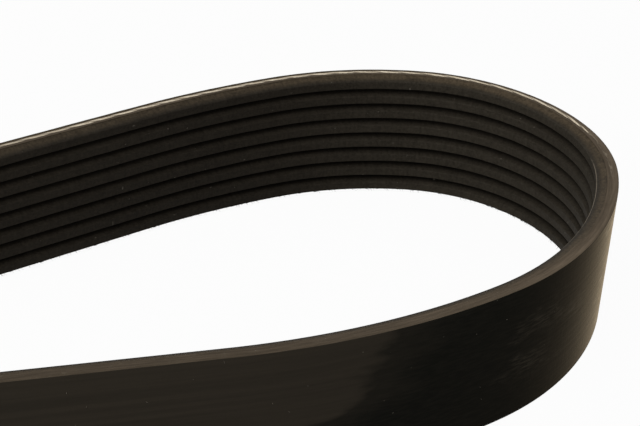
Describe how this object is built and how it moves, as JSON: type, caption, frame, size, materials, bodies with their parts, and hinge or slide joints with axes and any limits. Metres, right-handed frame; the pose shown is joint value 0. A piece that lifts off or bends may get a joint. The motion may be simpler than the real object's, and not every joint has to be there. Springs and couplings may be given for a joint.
{
  "type": "serpentine belt",
  "caption": "Endless rubber drive belt standing on its edge in a free dog-bone loop, with lengthwise V-shaped ribs on the inside and a smooth back.",
  "frame": {"origin": "centre of the loop, on the plane of the belt's lower cut edge", "axes": "+X along the loop's long axis, towards one bulb; +Z across the belt's width, from the lower cut edge to the upper one"},
  "size_m": [0.5996, 0.1018, 0.0285],
  "materials": {
    "belt_rubber": "matt near-black rubber: ground ribs with dull flat tips and smooth flanks, a smooth back with faint lengthwise streaks, and fibrous brown-grey cut edges",
    "tension_cord": "pale cream twisted polyester cord, laid bare along the upper cut edge"
  },
  "bodies": {
    "root": {"ribbed_belt": "belt_rubber"}
  },
  "joints": []
}
